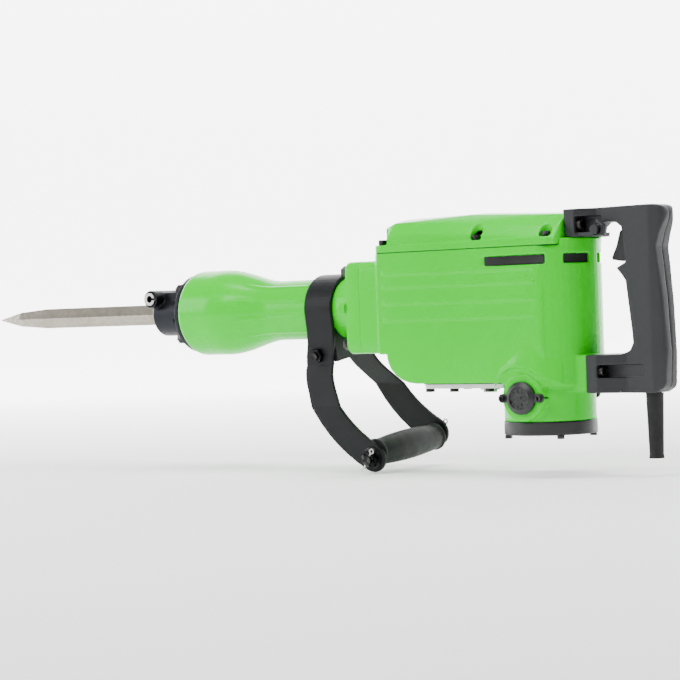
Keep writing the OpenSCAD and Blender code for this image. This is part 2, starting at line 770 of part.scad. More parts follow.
module top_cover() {
    z0 = parting_z + gasket_t;
    color(GREEN) difference() {
        union() {
            translate([0, 0, z0]) linear_extrude(cover_flange_t) cover_plan(0, 12);
            dome(0, 0);
        }
        difference() {
            translate([0, 0, -eps]) dome(case_wall - 1, case_wall - 1);
            // Rear wall that takes the handle's screws, and the lay shaft's upper boss
            translate([cover_x1 - 18, -100, z0 - 1]) cube([40, 200, 100]);
            zcyl(lay_shaft_r + 5, lay_top_z, cover_top, lay_x);
        }
        zcyl(lay_shaft_r + 1 + seat_gap, lay_top_z - 3, lay_top_z + 6.2, lay_x);
        both_sides() {
            for (p = cover_bolts) {
                zcyl(3 + bolt_gap, parting_z - 1, cover_top, p[0], p[1]);
                zcyl(7.4, z0 + cover_flange_t, cover_top + 5, p[0], p[1]);
            }
            xcyl(4 + bolt_gap, cover_x1 - 16, cover_x1 + 1, bolt_half_y, top_bolt_z);
        }
    }
}

module cover_gasket() {
    color(BLACK) difference() {
        translate([0, 0, parting_z]) linear_extrude(gasket_t) difference() {
            cover_plan(0.4, 12);
            round_rect(cover_x0 + 14, -inner_half_w + 1, cover_x1 - 19, inner_half_w - 1, 6);
        }
        both_sides() for (p = cover_bolts) zcyl(3 + bolt_gap, parting_z - 1, parting_z + 2, p[0], p[1]);
    }
}

module cover_bolts() {
    color(BLACK) both_sides() for (p = cover_bolts)
        translate([p[0], p[1], parting_z + gasket_t + cover_flange_t]) hex_screw(3, 28, 10, 6);
}

// Plan of the bottom plate, hollowed at the rear round the motor casing
module plate_plan(inset) {
    difference() {
        round_rect(floor_x0 + inset, -plate_half_w + inset, floor_x1 - inset, plate_half_w - inset, 8);
        translate([motor_x, 0]) circle(r = motor_r + 1 + inset);
    }
}

module bottom_gasket() {
    color(BLACK) difference() {
        translate([0, 0, -floor_z - floor_gasket_t]) linear_extrude(floor_gasket_t) difference() {
            plate_plan(0);
            round_rect(floor_x0 + 12, -plate_half_w + 14, floor_x1 - 34, plate_half_w - 14, 4);
        }
        both_sides() for (x = plate_bolt_xs) zcyl(3 + bolt_gap, -floor_z - 3, -floor_z + 1, x, plate_bolt_y);
    }
}

module bottom_plate() {
    color(BRIGHT) difference() {
        translate([0, 0, plate_z]) linear_extrude(plate_t)
            plate_plan(1);
        both_sides() for (x = plate_bolt_xs) zcyl(3 + bolt_gap, plate_z - 1, -floor_z + 1, x, plate_bolt_y);
        zcyl(8 + bolt_gap, plate_z - 1, -floor_z + 1, plug_x);
    }
}

module bottom_bolts() {
    color(BLACK) both_sides() for (x = plate_bolt_xs)
        translate([x, plate_bolt_y, plate_z]) mirror([0, 0, 1]) hex_screw(3, 17, 10, 4);
}

module oil_plug() {
    color(BRIGHT) translate([plug_x, 0, plate_z]) mirror([0, 0, 1]) {
        cylinder(r = 12, h = 3);
        cylinder(r = 9, h = 6, $fn = 6);
        translate([0, 0, -plate_t]) cylinder(r = 8, h = plate_t + eps);
    }
}

// ---------------------------------------------------------------- motor

module armature() {
    color(STEEL) translate([motor_x, 0, 0]) {
        zcyl(armature_shaft_r, tail_bearing_z + 0.5, lay_gear_z + eps);
        translate([0, 0, lay_gear_z - 1]) linear_extrude(motor_shaft_top - lay_gear_z + 1)
            gear_outline(first_m, armature_teeth);
        difference() {
            zcyl(core_r, stator_z0, stator_z1);
            for (a = [0 : 30 : 330]) rotate([0, 0, a])
                translate([core_r - 5, -1.6, stator_z0 - 1]) cube([8, 3.2, stator_z1 - stator_z0 + 2]);
        }
    }
    color(COPPER) translate([motor_x, 0, 0]) {
        zcyl(core_r - 6, stator_z0 - 9, stator_z0 + 1);
        zcyl(core_r - 6, stator_z1 - 1, stator_z1 + 14);
    }
}

module commutator() {
    color(COPPER) difference() {
        zring(armature_shaft_r + seat_gap, commutator_r, commutator_z, commutator_z + commutator_h, motor_x);
        for (a = [0 : 20 : 340]) translate([motor_x, 0, 0]) rotate([0, 0, a])
            translate([commutator_r - 1.2, -0.4, commutator_z - 1]) cube([3, 0.8, commutator_h - 3]);
    }
}

module fan() {
    color(BLACK) translate([motor_x, 0, 0]) {
        zring(armature_shaft_r + seat_gap, 14, fan_z, fan_z + fan_h - 3);
        zring(armature_shaft_r + seat_gap, fan_r, fan_z, fan_z + 2);
        for (a = [0 : 24 : 336]) rotate([0, 0, a])
            translate([13, -0.9, fan_z + 1]) cube([fan_r - 14.5, 1.8, fan_h - 4]);
    }
}

module armature_bearings() {
    color(BRIGHT) translate([motor_x, 0, top_bearing_z + 0.5])
        ball_bearing(armature_shaft_r + run_gap, top_bearing_r - seat_gap, top_bearing_t - 2);
    color(BRIGHT) translate([motor_x, 0, tail_bearing_z])
        ball_bearing(armature_shaft_r + run_gap, tail_bearing_r - seat_gap, tail_bearing_t);
}

module stator() {
    color(STEEL) difference() {
        zcyl(stator_r - seat_gap, stator_z0, stator_z1, motor_x);
        zcyl(core_r + 0.6, stator_z0 - 1, stator_z1 + 1, motor_x);
        both_sides() translate([motor_x - 16, 28, stator_z0 - 1])
            cube([32, 13, stator_z1 - stator_z0 + 2]);
    }
}

module field_coils() {
    color(COPPER) both_sides()
        translate([motor_x - 15.6, 28.4, stator_z0 - 8]) cube([31.2, 12.2, stator_z1 - stator_z0 + 18]);
}

module brush_holders() {
    color(COPPER) both_sides() difference() {
        ycyl(brush_holder_r, 20, brush_face_y - 0.5, motor_x, brush_z);
        translate([motor_x - 3.3, 19, brush_z - 6.3]) cube([6.6, brush_face_y - 18, 12.6]);
    }
}

module carbon_brushes() {
    color(BLACK) both_sides()
        translate([motor_x - 3.2, commutator_r + 0.3, brush_z - 6.2]) cube([6.4, 21, 12.4]);
}

module brush_caps() {
    color(BLACK) both_sides() translate([motor_x, brush_face_y, brush_z]) rotate([-90, 0, 0]) difference() {
        union() {
            cylinder(r = brush_cap_r, h = 5);
            translate([0, 0, 4.9]) cylinder(r1 = brush_cap_r, r2 = brush_cap_r - 5, h = 3);
            for (e = [-1, 1]) {
                translate([e * ear_reach, 0, 0]) cylinder(r = 5.2, h = 4);
                translate([e * (brush_cap_r + 1) - 5, -4.5, 0]) cube([10, 9, 4]);
            }
        }
        for (e = [-1, 1]) translate([e * ear_reach, 0, -1]) cylinder(r = 2, h = 8);
    }
}

module brush_cap_screws() {
    color(STEEL) both_sides() for (e = [-1, 1])
        translate([motor_x + e * ear_reach, brush_face_y + 4, brush_z]) rotate([-90, 0, 0])
            cap_screw(1.6, 14, 3.4, 2.6);
}

module tail_cover() {
    z1 = -motor_floor_z;
    color(BLACK) difference() {
        union() {
            difference() {
                zcyl(motor_r + 0.8, z1 - tail_h, z1, motor_x);
                zcyl(stator_r - 4, z1 - tail_h + 4, z1 + 1, motor_x);
            }
            // Spider that holds the lower bearing
            zcyl(tail_bearing_r + 4, z1 - tail_h + 3, tail_bearing_z + tail_bearing_t - 2, motor_x);
            for (a = [0, 90]) translate([motor_x, 0, 0]) rotate([0, 0, a])
                translate([-stator_r + 2, -4, z1 - tail_h + 3]) cube([2 * stator_r - 4, 8, tail_h - 4]);
        }
        for (a = tail_bolt_angles) translate([motor_x, 0, 0]) rotate([0, 0, a])
            zcyl(2 + bolt_gap, z1 - tail_h - 1, z1 + 1, stator_r + 3);
        zcyl(tail_bearing_r, tail_bearing_z, 0, motor_x);
        zcyl(armature_shaft_r + 2, z1 - tail_h + 6, 0, motor_x);
    }
}

module tail_cover_bolts() {
    color(BLACK) for (a = tail_bolt_angles) translate([motor_x, 0, 0]) rotate([0, 0, a])
        translate([stator_r + 3, 0, -motor_floor_z - tail_h]) mirror([0, 0, 1])
            hex_screw(2, tail_h + 12, 7.5, 4);
}

// ---------------------------------------------------------------- rear handle

// Side outline of the rear handle, filled in
module handle_side() {
    polygon(concat(
        [[top_x + 3, arm_under_z], [top_x, handle_top], [handle_end - 14, handle_top + 1]],
        arc(handle_end - 9, handle_top - 9, 9, 80, 0, 6),
        [[handle_end - 1, handle_top - 16], [handle_end - 7, handle_top - 31],
            [handle_end - 11, handle_top - 46], [handle_end - 5, 0], [handle_end - 2, -60]],
        arc(handle_end - 13, -handle_bottom + 12, 9, 10, -70, 4),
        [[handle_end - 17, -handle_bottom], [low_x, -handle_bottom + 1], [low_x, low_top_z],
            [handle_end - 75, 0]]));
}

// Side outline of the hand opening, with the bay that the trigger fills
module hand_opening() {
    polygon([[top_x - 30, arm_under_z], [top_x + 27, arm_under_z],
        [top_x + 29, arm_under_z + 10], [top_x + 35, arm_under_z + 15], [grip_x - 14, arm_under_z + 15],
        [grip_x - 6, arm_under_z + 9], [grip_x - 2, arm_under_z - 30], [grip_x - 14, 34],
        [grip_x - 8, 27], [grip_x - 3, 20], [grip_x - 1, 0], [grip_x + 3, -36], [grip_x + 4, low_top_z + 12],
        [grip_x, low_top_z + 4], [grip_x - 10, low_top_z], [top_x - 30, low_top_z]]);
}

// Plan outline of the rear handle, full width as far as neck_x and narrow behind neck_x + neck_len
module handle_plan(neck_x, neck_len) {
    hw = foot_half_w;
    gw = grip_half_w;
    corner = 9;
    near = [[top_x - 5, -hw], [neck_x, -hw], [neck_x + neck_len, -gw], [handle_end - 18, -gw]];
    polygon(concat(near,
        arc(handle_end - corner, corner - gw + 3, corner, -75, 0, 5),
        arc(handle_end - corner, gw - 3 - corner, corner, 0, 75, 5),
        [for (i = [3 : -1 : 0]) [near[i][0], -near[i][1]]]));
}

module handle_outline() {
    difference() {
        handle_side();
        hand_opening();
    }
}

// One half of the handle; side is -1 or 1
module handle_shell(side) {
    color(CHARCOAL) difference() {
        union() {
            intersection() {
                side_prism(foot_half_w + 5) handle_outline();
                union() {
                    linear_extrude(200) handle_plan(top_x + 14, 20);
                    translate([0, 0, -200]) linear_extrude(200) handle_plan(low_x + 14, 30);
                }
                translate([0, side < 0 ? -100 : 0, -200]) cube([1000, 100, 400]);
            }
            // Lug that carries the lock button
            if (side < 0) translate([0, lug_y + 9, 0]) rotate([90, 0, 0]) linear_extrude(9)
                polygon([[top_x + 14, arm_under_z], [lug_x, arm_under_z], [lug_x + 2, lock_z + 4],
                    [lug_x - 6, arm_under_z + 18], [top_x + 14, arm_under_z + 22]]);
        }
        // Room for the switch and its wires, with bosses for the shell screws
        difference() {
            intersection() {
                side_prism(core_half_w) offset(delta = -shell_wall) handle_outline();
                translate([top_x + 16, -100, -200]) cube([1000, 200, 400]);
            }
            for (p = shell_screws) ycyl(5, -100, 100, p[0], p[1]);
            ycyl(pivot_r, -100, 100, pivot_x, pivot_z);
        }
        // Trigger's slot, crossed by the pegs of its pivot
        difference() {
            translate([grip_x - 20, -trigger_half_w - free_gap, 26])
                cube([36, 2 * (trigger_half_w + free_gap), arm_under_z - 14]);
            ycyl(pivot_r, -100, 100, pivot_x, pivot_z);
        }
        mirror([0, side < 0 ? 1 : 0, 0]) {
            // Screw pockets of both feet
            for (p = foot_screws) {
                xcyl(4 + bolt_gap, p[0] - 8, p[0] + 20, bolt_half_y, p[1]);
                translate([p[0] + foot_wall, core_half_w + 2, p[1] - p[3]]) cube([p[2], 40, 2 * p[3]]);
            }
            // Shell screws
            for (p = shell_screws) {
                ycyl(2 + bolt_gap, -1, side < 0 ? 9.5 : 100, p[0], p[1]);
                if (side > 0) ycyl(4.2, 11, 100, p[0], p[1]);
            }
        }
        if (side < 0) {
            ycyl(lock_r + free_gap, -100, lug_y + 5.5, lock_x, lock_z);
            ycyl(2 + free_gap, -100, 1, lock_x, lock_z);
        }
        zcyl(cable_r + 3, -handle_bottom - 10, -handle_bottom + shell_wall + 2.5, guard_x);
    }
}

module handle_left() {
    handle_shell(-1);
}

module handle_right() {
    handle_shell(1);
}

module handle_screws() {
    color(STEEL) mirror([0, 1, 0]) for (p = shell_screws)
        translate([p[0], -11, p[1]]) rotate([90, 0, 0]) cap_screw(2, 20, 3.8, 3);
}

module handle_bolts() {
    color(BLACK) both_sides() for (p = foot_screws)
        translate([p[0] + foot_wall, bolt_half_y, p[1]]) rotate([0, 90, 0])
            cap_screw(4, foot_wall + 12, 6.4, 5);
}

module trigger() {
    color(CHARCOAL) difference() {
        side_prism(trigger_half_w) {
            polygon([[pivot_x - 1, pivot_z + 4], [grip_x - 8, arm_under_z + 8], [grip_x - 13, arm_under_z + 4],
                [grip_x - 18, 58], [grip_x - 24, 46], [grip_x - 23, 43], [grip_x - 10, 41], [grip_x - 4, 45],
                [grip_x + 1, 56], [pivot_x, arm_under_z]]);
            translate([pivot_x, pivot_z]) circle(r = 5, $fn = 32);
        }
        ycyl(pivot_r + run_gap, -100, 100, pivot_x, pivot_z);
    }
}

module trigger_spring() {
    // Return spring between the trigger and the switch
    color(STEEL) for (i = [0 : 3])
        translate([grip_x + 7.2 + 1.5 * i, 0, 60]) rotate([0, 90, 0])
            rotate_extrude() translate([3.2, 0]) circle(r = 0.6, $fn = 16);
}

module switch_body() {
    color(BLACK) translate([grip_x + 13.5, -9, 42]) cube([15, 18, 32]);
}

module lock_button() {
    color(BLACK) {
        ycyl(lock_r, lug_y - 5, lug_y + 2, lock_x, lock_z);
        ycyl(2, lug_y + 1, lug_y + 11, lock_x, lock_z);
        ycyl(4, lug_y + 9.5, lug_y + 11, lock_x, lock_z);
    }
}

module cord_guard() {
    z0 = -handle_bottom;
    color(BLACK) difference() {
        union() {
            zcyl(cable_r + 2.8, z0 - 1, z0 + shell_wall + 3, guard_x);
            zcyl(cable_r + 6, z0 + shell_wall + 1.8, z0 + shell_wall + 4.3, guard_x);
            translate([guard_x, 0, z0 - guard_len]) cylinder(r1 = guard_r1, r2 = guard_r0, h = guard_len - 0.3);
            translate([guard_x, 0, z0 - guard_len]) cylinder(r1 = guard_r1 + 0.8, r2 = guard_r1 + 0.2, h = 5);
        }
        zcyl(cable_r, z0 - guard_len - 1, z0 + 20, guard_x);
    }
}

module cable_clamp() {
    color(BLACK) difference() {
        translate([guard_x - 11, -9, -handle_bottom + 18]) cube([22, 18, 8]);
        zcyl(cable_r, -handle_bottom + 10, -handle_bottom + 40, guard_x);
    }
}

// ---------------------------------------------------------------- side handle

// The side handle is drawn hanging straight down and turned round the tool axis
module hang() {
    rotate([side_angle, 0, 0]) children();
}

// Front view of the strap: a band over the barrel and two arms that spread below it
module strap_front() {
    spread_z = -clamp_z - 12;
    foot_z = spread_z - 46;
    polygon(concat(
        arc(0, 0, band_out, 0, 180, 24),
        [[-band_out, spread_z], [-arm_out, foot_z], [-arm_out, -grip_drop - 40], [-arm_in, -grip_drop - 40],
            [-arm_in, foot_z], [-band_in, spread_z]],
        arc(0, 0, band_in, 180, 0, 24),
        [[band_in, spread_z], [arm_in, foot_z], [arm_in, -grip_drop - 40], [arm_out, -grip_drop - 40],
            [arm_out, foot_z], [band_out, spread_z]]));
}

// Side view of the strap: upright at the barrel, then curving back to the grip's rod
module strap_side() {
    half = strap_w / 2;
    top = [strap_x, -clamp_z];
    bend = [strap_x + 2, -grip_drop + 42];
    end = [rod_x, -grip_drop];
    path = [for (i = [0 : 10]) let (t = i / 10)
        (1 - t) ^ 2 * top + 2 * t * (1 - t) * bend + t ^ 2 * end];
    slope = [for (i = [0 : 10]) let (t = i / 10, d = (1 - t) * (bend - top) + t * (end - bend)) d / norm(d)];
    width = [for (i = [0 : 10]) half - 2.5 * i / 10];
    polygon(concat(
        [[strap_x - half, band_out + 1], [strap_x - half, -clamp_z + 4]],
        [for (i = [0 : 10]) path[i] + width[i] * [slope[i][1], -slope[i][0]]],
        arc(rod_x, -grip_drop, half - 2.5, atan2(-slope[10][0], slope[10][1]),
            atan2(-slope[10][0], slope[10][1]) + 180, 12),
        [for (i = [10 : -1 : 0]) path[i] - width[i] * [slope[i][1], -slope[i][0]]],
        [[strap_x + half, -clamp_z + 4], [strap_x + half, band_out + 1]]));
}

module handle_strap() {
    color(BLACK) hang() difference() {
        intersection() {
            translate([strap_x - 60, 0, 0]) rotate([90, 0, 90]) linear_extrude(200) strap_front();
            side_prism(arm_out + 5) strap_side();
        }
        ycyl(clamp_bolt_r + bolt_gap, -band_out - 5, band_out + 5, strap_x - 8, -clamp_z);
        ycyl(rod_r + seat_gap, -arm_out - 5, arm_out + 5, rod_x, -grip_drop);
    }
}

module clamp_saddle() {
    color(CHARCOAL) hang() difference() {
        translate([strap_x - strap_w / 2 + 3, -band_in + 0.5, -clamp_z - 9])
            cube([strap_w - 6, 2 * band_in - 1, clamp_z + 9 - waist_r * 0.5]);
        xcyl(band_in, strap_x - strap_w, strap_x + strap_w);
        ycyl(clamp_bolt_r + bolt_gap, -band_out, band_out, strap_x - 8, -clamp_z);
    }
}

module clamp_bolts() {
    color(BLACK) hang() translate([strap_x - 8, 0, -clamp_z]) {
        ycyl(clamp_bolt_r, -band_out - 9, band_out + 10);
        translate([0, -band_out, 0]) rotate([90, 0, 0]) cylinder(r = 9.2, h = 6, $fn = 6);
        translate([0, band_out, 0]) rotate([-90, 0, 0]) cylinder(r = 9.2, h = 8, $fn = 6);
    }
}

module grip_rod() {
    color(STEEL) hang() difference() {
        ycyl(rod_r, -arm_out - rod_end, arm_out + rod_end, rod_x, -grip_drop);
        both_sides() translate([rod_x, arm_out + split_y, -grip_drop]) rotate([0, split_angle, 0])
            translate([0, 0, -20]) cylinder(r = split_r + 0.2, h = 40);
    }
}

module side_grip() {
    half = side_grip_len / 2;
    end_r = side_grip_r - 3;
    color(RUBBER) hang() translate([rod_x, 0, -grip_drop]) rotate([90, 0, 0]) rotate_extrude($fn = 64)
        polygon(concat(
            [[rod_r + seat_gap, -half], [end_r - 1, -half]],
            [for (i = [0 : 12]) let (t = i / 12)
                [end_r + (side_grip_r - end_r) * sin(180 * t), -half + 2 + (side_grip_len - 4) * t]],
            [[end_r - 1, half], [rod_r + seat_gap, half]]));
}

// Slotted nuts on the rod, each held by a split pin
module grip_nuts() {
    color(BLACK) hang() both_sides() translate([rod_x, arm_out, -grip_drop]) rotate([-90, 0, 0]) difference() {
        union() {
            cylinder(r = 13, h = 1.8);
            translate([0, 0, 1.7]) cylinder(r = 11, h = 5.5, $fn = 6);
            translate([0, 0, 7]) cylinder(r = 8.6, h = 3.6);
        }
        translate([0, 0, -1]) cylinder(r = rod_r + seat_gap, h = 20);
        for (a = [0, 60, 120]) rotate([0, 0, split_angle + a]) translate([-1.6, -20, 7.4]) cube([3.2, 40, 8]);
    }
}

module split_pins() {
    eye_r = 2.6;
    color(BRIGHT) hang() both_sides() translate([rod_x, arm_out + split_y, -grip_drop]) rotate([0, split_angle, 0]) {
        translate([0, 0, -rod_r - 4]) cylinder(r = split_r, h = 2 * rod_r + 8, $fn = 20);
        translate([0, 0, rod_r + 4 + eye_r]) rotate([90, 0, 0])
            rotate_extrude() translate([eye_r, 0]) circle(r = split_r * 0.7, $fn = 16);
        for (a = [-35, 35]) translate([0, 0, -rod_r - 3.4]) rotate([a, 0, 0])
            translate([0, 0, -7]) cylinder(r = split_r * 0.6, h = 7.4, $fn = 16);
    }
}

chisel();
front_cap();
front_cap_bolts();
tool_bush();
retainer_pin();
retainer_clip();
barrel();
barrel_nuts();
damper_ring();
anvil();
anvil_bush();
cylinder_sleeve();
striker();
striker_ring();
piston();
piston_ring();
wrist_pin();
connecting_rod();
handle_strap();
clamp_saddle();
clamp_bolts();
grip_rod();
side_grip();
grip_nuts();
split_pins();
main_housing();
bottom_gasket();
bottom_plate();
bottom_bolts();
oil_plug();
crankshaft();
crank_bearings();
crank_gear();
lay_shaft();
lay_bearings();
top_cover();
cover_gasket();
cover_bolts();
armature();
armature_bearings();
commutator();
fan();
stator();
field_coils();
brush_holders();
carbon_brushes();
brush_caps();
brush_cap_screws();
tail_cover();
tail_cover_bolts();
handle_left();
handle_right();
handle_screws();
handle_bolts();
trigger();
trigger_spring();
lock_button();
switch_body();
cord_guard();
cable_clamp();
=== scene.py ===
"""Looks of the demolition hammer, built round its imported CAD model.

Metres, in the row frame: the origin is the mouth of the tool socket, X runs to the rear along the tool axis,
Y runs across and Z is up. CAD nodes whose shapes are right stay and get a finish; castings, mouldings and
the bent strap are replaced by pieces with soft edges and the forms that a casting has.
"""

import json
import math

import bmesh
import bpy
from mathutils import Matrix, Vector


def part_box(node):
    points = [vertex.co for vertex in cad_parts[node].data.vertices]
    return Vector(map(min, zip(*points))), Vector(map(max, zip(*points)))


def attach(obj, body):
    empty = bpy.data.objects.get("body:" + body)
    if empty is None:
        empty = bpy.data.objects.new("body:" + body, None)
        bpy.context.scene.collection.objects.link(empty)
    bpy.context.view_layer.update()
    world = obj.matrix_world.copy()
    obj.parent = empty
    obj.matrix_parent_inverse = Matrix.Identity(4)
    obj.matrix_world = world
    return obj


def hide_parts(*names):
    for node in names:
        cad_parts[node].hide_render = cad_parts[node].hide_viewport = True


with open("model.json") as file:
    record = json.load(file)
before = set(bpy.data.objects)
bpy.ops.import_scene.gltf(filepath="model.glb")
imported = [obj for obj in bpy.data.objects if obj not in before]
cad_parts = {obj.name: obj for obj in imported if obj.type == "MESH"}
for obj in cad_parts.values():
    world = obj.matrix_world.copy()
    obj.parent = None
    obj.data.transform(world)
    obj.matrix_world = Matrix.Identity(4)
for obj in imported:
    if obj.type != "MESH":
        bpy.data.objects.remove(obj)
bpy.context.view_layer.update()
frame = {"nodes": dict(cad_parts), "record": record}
NODES = frame["nodes"]
MM = 0.001


# ---------------------------------------------------------------- camera, light and stage

def make_camera():
    right = Vector((0.78780, 0.61502, -0.03399))
    up = Vector((0.01927, 0.03055, 0.99935))
    back = right.cross(up)
    data = bpy.data.cameras.new("camera")
    data.lens = 121.3
    data.sensor_width = 36
    data.clip_start = 0.05
    data.clip_end = 60
    cam = bpy.data.objects.new("camera", data)
    bpy.context.scene.collection.objects.link(cam)
    turn = Matrix((right, up, back)).transposed().to_4x4()
    cam.matrix_world = Matrix.Translation((1.9956, -2.1879, -0.0042)) @ turn
    bpy.context.scene.camera = cam


def area_light(name, place, aim, size, power):
    data = bpy.data.lights.new(name, "AREA")
    data.shape = "RECTANGLE"
    data.size = size[0]
    data.size_y = size[1]
    data.energy = power
    lamp = bpy.data.objects.new(name, data)
    bpy.context.scene.collection.objects.link(lamp)
    lamp.location = place
    lamp.rotation_euler = (Vector(aim) - Vector(place)).to_track_quat("-Z", "Y").to_euler()


def make_stage():
    """A pale sweep: a floor that rises into a wall far behind the tool, lit from within towards the wall."""
    floor_z = -0.196
    reach, wall, rise = 6.0, 5.0, 5.0
    half_width, bend, steps = 8, 1.5, 12
    section = [(-reach, floor_z), (wall - bend, floor_z)]
    for i in range(1, steps + 1):
        a = math.pi / 2 * i / steps
        section.append((wall - bend + bend * math.sin(a), floor_z + bend * (1 - math.cos(a))))
    section.append((wall, floor_z + rise))
    verts, faces = [], []
    for d, z in section:
        verts += [(-half_width, d, z), (half_width, d, z)]
    for i in range(len(section) - 1):
        faces.append((2 * i, 2 * i + 1, 2 * i + 3, 2 * i + 2))
    mesh = bpy.data.meshes.new("sweep")
    mesh.from_pydata(verts, [], faces)
    for p in mesh.polygons:
        p.use_smooth = True
    sweep = bpy.data.objects.new("sweep", mesh)
    bpy.context.scene.collection.objects.link(sweep)
    # The wall stands across the camera's line of sight
    sweep.rotation_euler = (0, 0, math.radians(38))
    sweep.location = (0.3, 0.0, 0)
    m = Nodes("stage_white")
    set_sockets(m, Base_Color=(0.9, 0.9, 0.9, 1), Roughness=0.9, Specular_IOR_Level=0.1,
                Emission_Color=(1, 1, 1, 1))
    split = m.add("ShaderNodeSeparateXYZ")
    m.link(m.coords, split.inputs["Vector"])
    m.link(m.spread(split.outputs["Y"], 0.2, 3.0, 0.2, 5.0), m.bsdf.inputs["Emission Strength"])
    mesh.materials.append(m.mat)

    world = bpy.data.worlds.new("studio")
    world.use_nodes = True
    sky = world.node_tree.nodes["Background"]
    sky.inputs["Color"].default_value = (1, 1, 1, 1)
    sky.inputs["Strength"].default_value = 0.25
    bpy.context.scene.world = world
    area_light("key", (0.1, -2.4, 1.9), (0.3, 0, 0), (1.4, 0.8), 60)
    area_light("top", (0.4, -0.1, 2.4), (0.3, 0, 0), (2.4, 0.9), 84)
    area_light("front", (-1.6, -1.6, 0.7), (0.2, 0, 0), (0.8, 1.2), 26)
    area_light("rim", (2.4, 0.5, 1.2), (0.5, 0, 0), (0.6, 1.6), 30)


# ---------------------------------------------------------------- materials

def linear(r, g, b):
    """sRGB values from 0 to 255 as a linear colour."""
    def one(c):
        c /= 255
        return c / 12.92 if c <= 0.04045 else ((c + 0.055) / 1.055) ** 2.4
    return (one(r), one(g), one(b), 1.0)


class Nodes:
    """A material's node tree, with short names for what every material here uses."""

    def __init__(self, name):
        self.mat = bpy.data.materials.new(name)
        self.mat.use_nodes = True
        self.tree = self.mat.node_tree
        self.bsdf = self.tree.nodes["Principled BSDF"]
        self.coords = self.add("ShaderNodeTexCoord").outputs["Object"]

    def add(self, kind, **values):
        node = self.tree.nodes.new(kind)
        for key, value in values.items():
            setattr(node, key, value)
        return node

    def link(self, a, b):
        self.tree.links.new(a, b)

    def noise(self, scale, detail=3.0, rough=0.5, stretch=None):
        node = self.add("ShaderNodeTexNoise")
        node.inputs["Scale"].default_value = scale
        node.inputs["Detail"].default_value = detail
        node.inputs["Roughness"].default_value = rough
        place = self.coords
        if stretch:
            mapping = self.add("ShaderNodeMapping")
            mapping.inputs["Scale"].default_value = stretch
            self.link(self.coords, mapping.inputs["Vector"])
            place = mapping.outputs["Vector"]
        self.link(place, node.inputs["Vector"])
        return node.outputs["Fac"]

    def spread(self, value, low, high, start=0.0, end=1.0):
        node = self.add("ShaderNodeMapRange")
        for key, number in zip(("From Min", "From Max", "To Min", "To Max"), (low, high, start, end)):
            node.inputs[key].default_value = number
        self.link(value, node.inputs["Value"])
        return node.outputs["Result"]

    def mix(self, factor, a, b, blend="MIX"):
        node = self.add("ShaderNodeMix", data_type="RGBA", blend_type=blend)
        if isinstance(factor, float):
            node.inputs[0].default_value = factor
        else:
            self.link(factor, node.inputs[0])
        for socket, colour in ((node.inputs[6], a), (node.inputs[7], b)):
            if isinstance(colour, tuple):
                socket.default_value = colour
            else:
                self.link(colour, socket)
        return node.outputs[2]

    def times(self, a, b):
        node = self.add("ShaderNodeMath", operation="MULTIPLY")
        for socket, value in zip(node.inputs, (a, b)):
            if isinstance(value, float):
                socket.default_value = value
            else:
                self.link(value, socket)
        return node.outputs[0]

    def bump(self, height, strength, distance, under=None):
        node = self.add("ShaderNodeBump")
        node.inputs["Strength"].default_value = strength
        node.inputs["Distance"].default_value = distance
        self.link(height, node.inputs["Height"])
        if under:
            self.link(under, node.inputs["Normal"])
        return node.outputs["Normal"]

    def rounded(self, radius):
        node = self.add("ShaderNodeBevel", samples=6)
        node.inputs["Radius"].default_value = radius
        return node.outputs["Normal"]

    def edge_wear_and_highlight_mask(self, low=0.52, high=0.62):
        """Mask of convex edges, broken up by noise; on most finishes it marks wear, on the green enamel a
        painted highlight.
        """
        pointy = self.add("ShaderNodeNewGeometry").outputs["Pointiness"]
        mask = self.spread(pointy, low, high)
        broken = self.spread(self.noise(160.0, 4.0, 0.6), 0.42, 0.62)
        return self.times(mask, broken)

    def finish(self, colour, roughness, normal=None):
        for value, name in ((colour, "Base Color"), (roughness, "Roughness")):
            if isinstance(value, (tuple, float)):
                self.bsdf.inputs[name].default_value = value
            else:
                self.link(value, self.bsdf.inputs[name])
        if normal:
            self.link(normal, self.bsdf.inputs["Normal"])
        return self.mat


def set_sockets(m, **values):
    for name, value in values.items():
        m.bsdf.inputs[name.replace("_", " ")].default_value = value


def paint(name, base, deep, worn_and_highlit_edge, rough=0.25, edge=0.0011, coat=0.08, orange_peel=0.06):
    """Sprayed enamel on a casting: slight orange peel, a little dust, and paler convex edges, which are
    rubbed paint on the black powder coat and a painted highlight on the green enamel.
    """
    m = Nodes(name)
    cloudy = m.spread(m.noise(7.0, 3.0, 0.5), 0.35, 0.68)
    colour = m.mix(cloudy, base, deep)
    # Paler convex edges: rubbed paint where the edge colour is grey, a painted highlight where it is a
    # brighter green
    colour = m.mix(m.times(m.edge_wear_and_highlight_mask(0.53, 0.66), 0.35), colour, worn_and_highlit_edge)
    roughness = m.spread(m.noise(26.0, 4.0, 0.55), 0.3, 0.75, rough - 0.03, rough + 0.06)
    peel = m.bump(m.noise(650.0, 1.5, 0.4), orange_peel, 0.0003, m.rounded(edge))
    wavy = m.bump(m.noise(38.0, 2.0, 0.5), 0.10, 0.0012, peel)
    set_sockets(m, Coat_Weight=coat, Coat_Roughness=0.10, IOR=1.45, Specular_IOR_Level=0.2)
    return m.finish(colour, roughness, wavy)


def moulded(name, base, pale, rough=0.5, grain=0.25, grain_scale=1500.0, edge=0.0008):
    """Moulded plastic with a spark-eroded grain, rubbed a little paler on its edges."""
    m = Nodes(name)
    colour = m.mix(m.spread(m.noise(12.0, 3.0, 0.5), 0.35, 0.75, 0.0, 0.5), base, pale)
    colour = m.mix(m.times(m.edge_wear_and_highlight_mask(0.53, 0.66), 0.4), colour, pale)
    roughness = m.spread(m.noise(60.0, 4.0, 0.6), 0.3, 0.7, rough - 0.05, rough + 0.06)
    normal = m.bump(m.noise(grain_scale, 2.0, 0.5), grain, 0.0002, m.rounded(edge))
    return m.finish(colour, roughness, normal)


